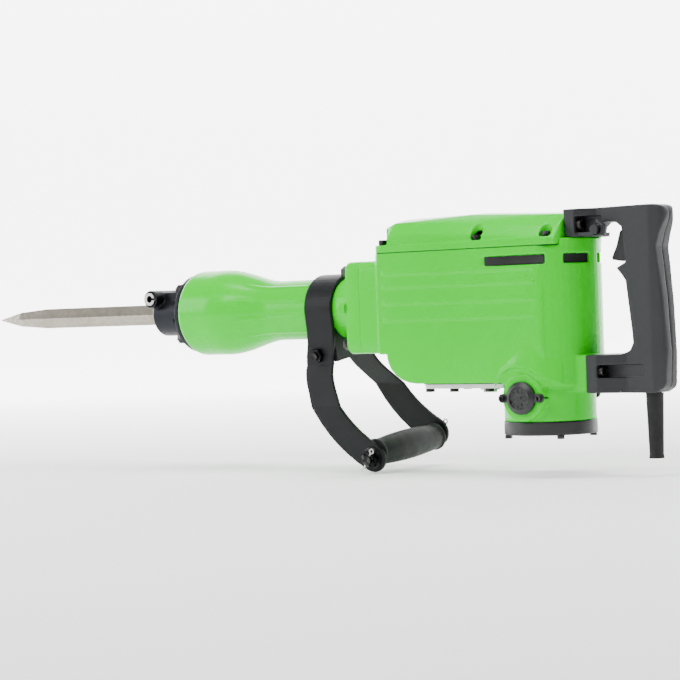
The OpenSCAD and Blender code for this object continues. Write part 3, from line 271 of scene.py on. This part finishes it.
def metal(name, base, stain, rough=0.35, brush=None, pits=0.10, edge=0.0005, wear=None):
    """Bare or plated metal: faintly stained, brushed along one axis, finely pitted."""
    m = Nodes(name)
    colour = m.mix(m.spread(m.noise(18.0, 4.0, 0.55), 0.35, 0.75, 0.0, 0.6), base, stain)
    if wear:
        colour = m.mix(m.times(m.edge_wear_and_highlight_mask(), 0.7), colour, wear)
    streaks = m.noise(180.0, 3.0, 0.5, brush or (1.0, 1.0, 1.0))
    roughness = m.spread(streaks, 0.25, 0.75, rough - 0.05, rough + 0.07)
    normal = m.bump(streaks, 0.10, 0.0002, m.rounded(edge))
    normal = m.bump(m.noise(900.0, 3.0, 0.6), pits, 0.0002, normal)
    m.bsdf.inputs["Metallic"].default_value = 1.0
    return m.finish(colour, roughness, normal)


def rubbery(name, base, dusty, rough=0.7):
    """Soft rubber: matt, dusty in patches, with a fine moulded texture."""
    m = Nodes(name)
    colour = m.mix(m.spread(m.noise(22.0, 5.0, 0.6), 0.42, 0.78), base, dusty)
    roughness = m.spread(m.noise(70.0, 4.0, 0.6), 0.3, 0.7, rough - 0.06, rough + 0.1)
    normal = m.bump(m.noise(1100.0, 2.5, 0.55), 0.4, 0.0003, m.rounded(0.0006))
    set_sockets(m, Sheen_Weight=0.02, Sheen_Roughness=0.5, Specular_IOR_Level=0.3)
    return m.finish(colour, roughness, normal)


# The third colour, a brighter green on convex edges, is a painted highlight, not wear
GREEN = paint("green_enamel", (0.004, 0.62, 0.002, 1.0), (0.003, 0.56, 0.001, 1.0),
              (0.03, 0.76, 0.02, 1.0))
PLASTIC = moulded("handle_plastic", linear(19, 21, 25), linear(27, 29, 34))
TRIGGER = moulded("trigger_plastic", linear(16, 18, 22), linear(24, 26, 30), 0.38, 0.12)
BLACK_PLASTIC = moulded("black_plastic", linear(15, 16, 18), linear(24, 25, 28), 0.42, 0.18)
CARBON = moulded("carbon", linear(24, 24, 25), linear(44, 44, 45), 0.6, 0.4)
CAST = metal("charcoal_cast", linear(46, 48, 51), linear(32, 33, 36), 0.44, None, 0.30, 0.0008,
             linear(86, 87, 89))
POWDER = paint("black_powder_coat", linear(20, 21, 24), linear(16, 17, 19), linear(48, 48, 48), 0.42, 0.0007,
               0.0, 0.22)
OXIDE = metal("black_oxide", linear(38, 38, 40), linear(26, 26, 27), 0.38, None, 0.12, 0.0004,
              linear(96, 94, 91))
FORGED = metal("forged_steel", linear(158, 151, 138), linear(128, 120, 107), 0.36, (0.05, 1.0, 1.0), 0.20,
               0.0006, linear(196, 191, 180))
MACHINED = metal("machined_steel", linear(176, 176, 174), linear(142, 141, 138), 0.28, (0.1, 1.0, 1.0))
ZINC = metal("zinc_plate", linear(196, 196, 193), linear(160, 159, 154), 0.3)
BRASSY = metal("yellow_zinc", linear(186, 160, 118), linear(150, 122, 84), 0.36)
ALUMINIUM = metal("machined_aluminium", linear(206, 207, 208), linear(176, 177, 178), 0.3)
PLATE = metal("plate_metal", linear(222, 224, 220), linear(200, 202, 198), 0.42, None, 0.2)
COPPER = metal("copper", linear(196, 120, 74), linear(150, 88, 56), 0.3)
RUBBER = rubbery("rubber", linear(20, 20, 21), linear(34, 34, 35))
GRIP = rubbery("grip_rubber", linear(15, 16, 18), linear(22, 23, 25), 0.55)

FINISH = {
    "chisel_steel": FORGED, "charcoal_cast": CAST, "black_steel": OXIDE, "machined_steel": MACHINED,
    "zinc_steel": ZINC, "rubber": RUBBER, "green_paint": GREEN, "aluminium": ALUMINIUM,
    "black_paint": POWDER, "brass_plate": BRASSY, "grip_rubber": GRIP, "plate_metal": PLATE,
    "copper": COPPER, "black_plastic": BLACK_PLASTIC, "carbon": CARBON,
    "handle_plastic": PLASTIC, "trigger_plastic": TRIGGER,
}
SLOT_OF = {s["node"]: s["material_slot"] for s in frame["record"]["subparts"]}
BODY_OF = {n: b for b, members in frame["record"]["behaviour"]["bodies"].items() for n in members}
# Blackened, whatever the finish of their slot
DARK_STEEL_NODES = ("handle_screws", "brush_cap_screws", "grip_rod", "retainer_pin")


def dress(obj, material, smooth_angle=32.0):
    obj.data.materials.clear()
    obj.data.materials.append(material)
    for p in obj.data.polygons:
        p.use_smooth = True
    obj.data.set_sharp_from_angle(angle=math.radians(smooth_angle))


def dress_cad_nodes():
    for name, obj in NODES.items():
        dress(obj, FINISH[SLOT_OF[name]])
    for name in DARK_STEEL_NODES:
        dress(NODES[name], OXIDE)


# ---------------------------------------------------------------- mesh helpers

def new_object(name, mesh):
    obj = bpy.data.objects.new(name, mesh)
    bpy.context.scene.collection.objects.link(obj)
    return obj


def from_rings(name, rings, closed=True):
    """Skin over rings of equally many points, each a list of vectors; closed joins the last to the first."""
    count = len(rings[0])
    verts = [p for ring in rings for p in ring]
    faces = []
    for i in range(len(rings) if closed else len(rings) - 1):
        a, b = i * count, (i + 1) % len(rings) * count
        for j in range(count):
            k = (j + 1) % count
            faces.append((a + j, b + j, b + k, a + k))
    if not closed:
        last = (len(rings) - 1) * count
        faces += [tuple(range(count))[::-1], tuple(range(last, last + count))]
    mesh = bpy.data.meshes.new(name)
    mesh.from_pydata(verts, [], faces)
    bm = bmesh.new()
    bm.from_mesh(mesh)
    bmesh.ops.recalc_face_normals(bm, faces=bm.faces)
    bm.to_mesh(mesh)
    bm.free()
    return new_object(name, mesh)


def bake_modifiers(obj):
    mesh = bpy.data.meshes.new_from_object(obj.evaluated_get(bpy.context.evaluated_depsgraph_get()))
    obj.modifiers.clear()
    obj.data = mesh
    return obj


def join_meshes(obj, *others):
    """Adds the shells of other objects to obj's mesh and deletes those objects."""
    bm = bmesh.new()
    bm.from_mesh(obj.data)
    for other in others:
        other.data.transform(other.matrix_world)
        bm.from_mesh(other.data)
        bpy.data.objects.remove(other)
    bm.to_mesh(obj.data)
    bm.free()
    return obj


def cut(obj, tool):
    """Takes tool's volume from obj and deletes tool."""
    mod = obj.modifiers.new("cut", "BOOLEAN")
    mod.operation = "DIFFERENCE"
    mod.solver = "EXACT"
    mod.object = tool
    bake_modifiers(obj)
    bpy.data.objects.remove(tool)
    return obj


def rod(name, radius, start, end, sides=64):
    """Cylinder between two points, for joining to or cutting from a casting."""
    start, end = Vector(start), Vector(end)
    bm = bmesh.new()
    bmesh.ops.create_cone(bm, cap_ends=True, segments=sides, radius1=radius, radius2=radius,
                          depth=(end - start).length)
    turn = (end - start).to_track_quat("Z", "Y").to_matrix().to_4x4()
    bm.transform(Matrix.Translation((start + end) / 2) @ turn)
    mesh = bpy.data.meshes.new(name)
    bm.to_mesh(mesh)
    bm.free()
    return new_object(name, mesh)


def soften(obj, voxel, steps, zones=()):
    """Rounds a casting's edges: a fine remesh, then smoothing; zones are (steps, weight of a point) pairs."""
    mod = obj.modifiers.new("grid", "REMESH")
    mod.mode = "VOXEL"
    mod.voxel_size = voxel
    mod.use_smooth_shade = True
    bake_modifiers(obj)
    for i, (count, weight) in enumerate([(steps, None)] + list(zones)):
        smooth = obj.modifiers.new("smooth", "SMOOTH")
        smooth.factor = 0.5
        smooth.iterations = count
        if weight:
            group = obj.vertex_groups.new(name=f"zone{i}")
            for v in obj.data.vertices:
                w = weight(v.co)
                if w > 0:
                    group.add([v.index], w, "REPLACE")
            smooth.vertex_group = group.name
        bake_modifiers(obj)
    return obj


def stand_for(obj, node, material, angle=50.0):
    """Dresses obj and puts it in the place of a CAD node."""
    dress(obj, material, angle)
    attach(obj, BODY_OF[node])
    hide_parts(node)


def copy_of(node, name):
    return new_object(name, NODES[node].data.copy())


def ramp(x, low, high):
    """0 below low, 1 above high, smooth between."""
    t = min(1.0, max(0.0, (x - low) / (high - low)))
    return t * t * (3 - 2 * t)


# ---------------------------------------------------------------- barrel

def build_barrel():
    """The barrel casting: a bulge behind the nose, a fluted waist and a square flange at the rear."""
    low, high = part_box("barrel")
    front, back = low.x, high.x
    bulge, waist = 53 * MM, 36.4 * MM
    taper_start, taper = front + 44 * MM, 92 * MM
    flange = 335 * MM
    half_y, half_z, corner = 50 * MM, 54.5 * MM, 12 * MM
    bore, spigot, spigot_end = 29.65 * MM, 32.1 * MM, 110 * MM
    nose_round, fillet, edge, back_edge = 9 * MM, 6 * MM, 2.2 * MM, 0.7 * MM
    rib_h, rib_deg, web_h, web_deg = 1.25 * MM, 3.0, 11 * MM, 7.5
    count, step = 256, 2.4 * MM

    def profile(x):
        t = (x - taper_start) / taper
        if t <= 0:
            return bulge
        if t >= 1:
            return waist
        return waist + (bulge - waist) * (1 + math.cos(math.pi * t)) / 2

    def flange_r(a):
        """Polar radius of the flange's rounded rectangle."""
        c, s = abs(math.cos(a)), abs(math.sin(a))
        r = min(half_y / max(c, 1e-6), half_z / max(s, 1e-6))
        ky, kz = half_y - corner, half_z - corner
        if r * c > ky and r * s > kz:
            b = c * ky + s * kz
            r = b + math.sqrt(max(0.0, b * b - (ky * ky + kz * kz - corner * corner)))
        return r

    def ribs(x, a):
        along = ramp(x, front + 78 * MM, front + 110 * MM) * (1 - ramp(x, 252 * MM, 263 * MM))
        best = 0.0
        for base in (-50, -18, 14, 46):
            for turn in (0, 180):
                d = (math.degrees(a) - (180 + base + turn) + 180) % 360 - 180
                best = max(best, math.exp(-(d / rib_deg) ** 2))
        return rib_h * best * along

    def webs(x, a):
        along = ramp(x, flange - 30 * MM, flange) ** 2
        best = 0.0
        for base in (0, 90, 180, 270):
            d = (math.degrees(a) - base + 180) % 360 - 180
            best = max(best, math.exp(-(d / web_deg) ** 4))
        return web_h * best * along

    angles = [2 * math.pi * i / count for i in range(count)]

    def ring(x, radius):
        return [Vector((x, radius(a) * math.cos(a), radius(a) * math.sin(a))) for a in angles]

    def quarter(steps):
        return [math.pi / 2 * i / steps for i in range(steps + 1)]

    rings = [ring(front, lambda a: spigot), ring(front, lambda a: bulge - 12 * MM)]
    for t in quarter(12):
        radius = bulge - nose_round * (1 - math.sin(t))
        rings.append(ring(front + nose_round * (1 - math.cos(t)), lambda a: radius))
    x = front + 12 * MM
    while x < flange - 7 * MM:
        rings.append(ring(x, lambda a: profile(x) + ribs(x, a) + webs(x, a)))
        x += step
    for t in quarter(8):
        rings.append(ring(flange - fillet * (1 - math.sin(t)),
                          lambda a: waist + webs(flange, a) + fillet * (1 - math.cos(t))))
    for t in quarter(8):
        rings.append(ring(flange + edge * (1 - math.cos(t)),
                          lambda a: flange_r(a) - edge * (1 - math.sin(t))))
    for t in reversed(quarter(4)):
        rings.append(ring(back - back_edge * (1 - math.cos(t)),
                          lambda a: flange_r(a) - back_edge * (1 - math.sin(t))))
    rings.append(ring(back, lambda a: bore))
    rings.append(ring(spigot_end, lambda a: bore))
    rings.append(ring(spigot_end, lambda a: spigot))
    barrel = from_rings("barrel_casting", rings)
    stand_for(barrel, "barrel", GREEN, 60)


# ---------------------------------------------------------------- nose

def build_nose():
    """The nose casting, its edges and the foot of the retainer's boss rounded."""
    nose = soften(copy_of("front_cap", "nose_casting"), 0.75 * MM, 7)
    stand_for(nose, "front_cap", CAST)


# ---------------------------------------------------------------- housing and cover

def flank(x):
    """Half width of the housing's side wall at x, which curves in towards the rear."""
    flat, curve_start, curve = 54.1 * MM, 600 * MM, 13.5
    return flat - curve * max(0.0, x - curve_start) ** 2


def swept_shoulder(side):
    """The lower edge of the body: it rises over the brush cap and runs down in an S to the handle's foot."""
    path = [(547, -94), (551, -86), (558, -79), (567, -74.5), (577, -73), (588, -74.5), (598, -78),
            (606, -82), (614, -86.5), (622, -90), (630, -92)]
    steps, root = 60, 2.5 * MM
    rings = []
    for i in range(steps + 1):
        t = i / steps * (len(path) - 1)
        k = min(int(t), len(path) - 2)
        x, z = (Vector(path[k]).lerp(Vector(path[k + 1]), t - k)) * MM
        y = flank(x)
        proud = 2.6 * MM * ramp(x, 546 * MM, 566 * MM)
        top = z + 9 * MM + 24 * MM * ramp(x, 560 * MM, 596 * MM)
        section = [(y - root, z), (y + proud, z), (y + proud, z + 2 * MM),
                   (y + 0.4 * proud, (z + top) / 2), (y - 0.4 * MM, top), (y - root, top)]
        rings.append([Vector((x, side * a, b)) for a, b in section])
    return from_rings("shoulder", rings, False)


def side_step(side):
    """The vertical step where the flat side meets the round motor case."""
    low, high = -76 * MM, 30 * MM
    near, far = 580 * MM, 613 * MM
    steps = 12
    rings = []
    for i in range(steps + 1):
        t = i / steps
        z = low + (high - low) * t
        proud = 1.5 * MM * ramp(t, 0.0, 0.25) * (1 - ramp(t, 0.8, 1.0))
        section = [(near, 50 * MM), (near, 54 * MM), (far - 4 * MM, flank(far - 4 * MM) + proud),
                   (far, flank(far) + proud), (far, flank(far) - 3 * MM)]
        rings.append([Vector((a, side * b, z)) for a, b in section])
    return from_rings("side_step", rings, False)


def build_vent_shade_sheets():
    """Dark sheets inside the air slots of the fan room: painted shade, standing for the shadow inside the
    housing.
    """
    # Plans in mm: the side sheet of painted shade follows the slot's ramp, the rear one is a flat plate
    side_plan = [(537, 52.9), (557, 44.2), (615.4, 44.2), (615.4, 46), (558, 46), (538.5, 53.4)]
    rear_plan = [(47.2, -16.8), (48.8, -16.8), (48.8, 16.8), (47.2, 16.8)]
    rear_centre, rear_angle = (593 * MM, 0, 0), math.radians(26)
    parts = []
    for side in (-1, 1):
        rings = [[Vector((x, side * y, z)) * MM for x, y in side_plan] for z in (41.7, 52.3)]
        parts.append(from_rings("side_shade_sheet", rings, False))
        turn = Matrix.Translation(rear_centre) @ Matrix.Rotation(side * rear_angle, 4, "Z")
        rings = [[turn @ (Vector((x, y, z)) * MM) for x, y in rear_plan] for z in (41.8, 52.2)]
        parts.append(from_rings("rear_shade_sheet", rings, False))
    shade_sheets = join_meshes(parts[0], *parts[1:])
    shade_sheets.name = "vent_shade_sheets"
    dress(shade_sheets, BLACK_PLASTIC)
    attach(shade_sheets, "body")


def build_housing():
    """The main casting, with its swept shoulders and side steps run into it."""
    body = copy_of("main_housing", "housing_casting")
    join_meshes(body, swept_shoulder(-1), swept_shoulder(1), side_step(-1), side_step(1))
    stand_for(soften(body, 1.0 * MM, 5), "main_housing", GREEN)


def build_cover():
    """The top cover, with a casting's rounded edges."""
    cover = soften(copy_of("top_cover", "cover_casting"), 0.9 * MM, 8)
    stand_for(cover, "top_cover", GREEN)


# ---------------------------------------------------------------- rear handle

def build_handle():
    """Both handle shells, rounded to a bar at the hand grip and along the back."""
    grip_x, back = 701 * MM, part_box("handle_left")[1].x

    def on_grip(p):
        """Full weight over the hand grip, none at the feet or round the trigger."""
        along = ramp(p.x, grip_x - 10 * MM, grip_x + 4 * MM)
        return along * ramp(p.z, -66 * MM, -40 * MM) * (1 - ramp(p.z, 14 * MM, 34 * MM))

    def rear_edge(p):
        """Full weight at the back of the handle, above its lower corner."""
        return ramp(p.x, back - 26 * MM, back - 16 * MM) * ramp(p.z, -104 * MM, -90 * MM)

    for node, name in (("handle_left", "handle_shell_near"), ("handle_right", "handle_shell_far")):
        shell = copy_of(node, name)
        if node == "handle_left":
            low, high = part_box("lock_button")
            x, z = (low.x + high.x) / 2, (low.z + high.z) / 2
            # Wider than in the CAD, so that smoothing leaves room for the pressed button
            outside, floor, inside = -40 * MM, -22.4 * MM, 2 * MM
            cut(shell, rod("button_bore", 6 * MM, (x, outside, z), (x, floor, z)))
            cut(shell, rod("stem_bore", 3 * MM, (x, floor - 1.6 * MM, z), (x, inside, z)))
        soften(shell, 0.8 * MM, 4, [(30, on_grip), (16, rear_edge)])
        stand_for(shell, node, PLASTIC)


# ---------------------------------------------------------------- side handle

def axis_ends(node):
    """Centres of a round node's two end faces, by Y."""
    points = [v.co for v in NODES[node].data.vertices]
    low, high = min(p.y for p in points), max(p.y for p in points)
    reach = 4 * MM
    ends = []
    for target in (low, high):
        near = [p for p in points if abs(p.y - target) < reach]
        ends.append(sum(near, Vector()) / len(near))
    return ends


def lathe(name, profile, start, end, sides=72):
    """Turns (distance along, radius) pairs round the line from start to end."""
    axis = (end - start).normalized()
    u = axis.orthogonal().normalized()
    w = axis.cross(u)
    rings = []
    for along, radius in profile:
        rings.append([start + axis * along + (u * math.cos(a) + w * math.sin(a)) * radius
                      for a in (2 * math.pi * i / sides for i in range(sides))])
    return from_rings(name, rings)


def build_side_grip():
    """The rubber sleeve: swollen in the middle, with a rolled collar at each end."""
    a, b = axis_ends("side_grip")
    length = (b - a).length
    collar, edge, belly, neck = 4.2 * MM, 16.6 * MM, 17.9 * MM, 14.9 * MM
    bore, lip = 6.2 * MM, edge - 2.6 * MM

    def radius(d):
        d = min(d, length - d)
        if d < collar:
            t = d / collar
            return edge - 1.4 * MM * (2 * t - 1) ** 4
        t = min(1.0, (d - collar) / (length / 2 - collar))
        return neck + (belly - neck) * math.sin(math.pi / 2 * t) ** 0.8

    steps = 150
    places = [length * (i + 0.5) / steps for i in range(steps)]
    profile = [(0.0, bore), (0.0, lip)] + [(d, radius(d)) for d in places] + [(length, lip), (length, bore)]
    stand_for(lathe("grip_sleeve", profile, a, b), "side_grip", GRIP, 40)


def build_brush_caps():
    """Brush caps with a dished, ribbed face."""
    caps = copy_of("brush_caps", "brush_cap_mouldings")
    low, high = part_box("brush_caps")
    middle = Vector(((low.x + high.x) / 2, 0, (low.z + high.z) / 2))
    # Radius and depth of the dish in mm, from its centre out past the face
    dish = ((0.05, 0.4), (2.6, 0.5), (3.6, 1.7), (6, 2.5), (9, 2.7), (11.4, 2.2), (12.4, 0.6), (12.5, -3))
    sides, ribs, rib_h = 144, 10, 1.1
    for side in (-1, 1):
        rings = []
        for r, depth in dish:
            ring = []
            for i in range(sides):
                a = 2 * math.pi * i / sides
                rib = rib_h * max(0.0, math.cos(ribs * a)) ** 6 if 3.6 < r < 12 else 0.0
                y = side * (high.y - (depth - rib) * MM)
                ring.append(Vector((middle.x + r * MM * math.cos(a), y, middle.z + r * MM * math.sin(a))))
            rings.append(ring)
        cut(caps, from_rings("dish", rings, False))
    stand_for(soften(caps, 0.45 * MM, 3), "brush_caps", BLACK_PLASTIC)


def build_strap():
    """The bent strap, its arms bowed forward in one long curve below the clamp."""
    strap = copy_of("handle_strap", "bent_strap")
    a, b = axis_ends("grip_rod")
    across = (b - a).normalized()
    down = across.cross(Vector((1, 0, 0)))
    bolt_low, bolt_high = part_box("clamp_bolts")
    bolt = (bolt_low + bolt_high) / 2
    bolt_depth = bolt.dot(down)
    # The bolt holes are filled, since the bow would carry them away from the bolts
    near = [v.co.dot(across) for v in NODES["handle_strap"].data.vertices
            if abs(v.co.dot(down) - bolt_depth) < 9 * MM]
    out = max(near) - 0.4 * MM
    centre = Vector((bolt.x, 0, 0)) + down * bolt_depth
    plug_r, plug_t = 8 * MM, 4 * MM
    plugs = [rod("plug", plug_r, centre + across * side * (out - plug_t), centre + across * side * out)
             for side in (-1, 1)]
    join_meshes(strap, *plugs)
    soften(strap, 0.7 * MM, 4)
    bow, bow_depth, bow_spread = 9 * MM, 68 * MM, 27 * MM
    for v in strap.data.vertices:
        v.co.x -= bow * math.exp(-((v.co.dot(down) - bow_depth) / bow_spread) ** 2)
    stand_for(strap, "handle_strap", POWDER)


def build_tail_cover():
    """The black cover under the motor, its edges rounded."""
    cover = soften(copy_of("tail_cover", "tail_cover_moulding"), 0.8 * MM, 4)
    stand_for(cover, "tail_cover", BLACK_PLASTIC)


# ---------------------------------------------------------------- scene

make_camera()
make_stage()
dress_cad_nodes()
build_barrel()
build_nose()
build_housing()
build_vent_shade_sheets()
build_cover()
build_handle()
build_strap()
build_side_grip()
build_brush_caps()
build_tail_cover()
